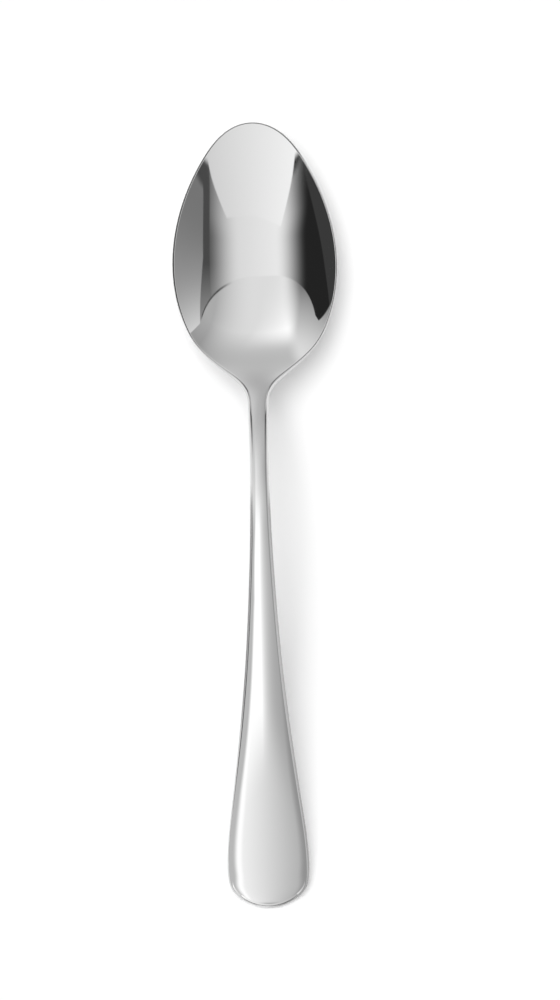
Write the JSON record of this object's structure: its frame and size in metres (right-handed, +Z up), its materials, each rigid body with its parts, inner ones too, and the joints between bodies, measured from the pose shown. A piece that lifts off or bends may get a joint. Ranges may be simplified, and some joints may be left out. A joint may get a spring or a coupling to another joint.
{
  "type": "dessert spoon",
  "caption": "Dessert spoon of polished steel with an egg-shaped bowl, a slender stem and a flared, round-ended handle, for eating puddings.",
  "frame": {"origin": "centre of the bounding box at table height, with the spoon lying on its belly", "axes": "+Y along the spoon towards the bowl tip, +Z up out of the bowl, +X to the right across the bowl"},
  "size_m": [0.0386, 0.184, 0.0237],
  "materials": {
    "steel": "polished"
  },
  "bodies": {
    "root": {"spoon": "steel"}
  },
  "joints": []
}
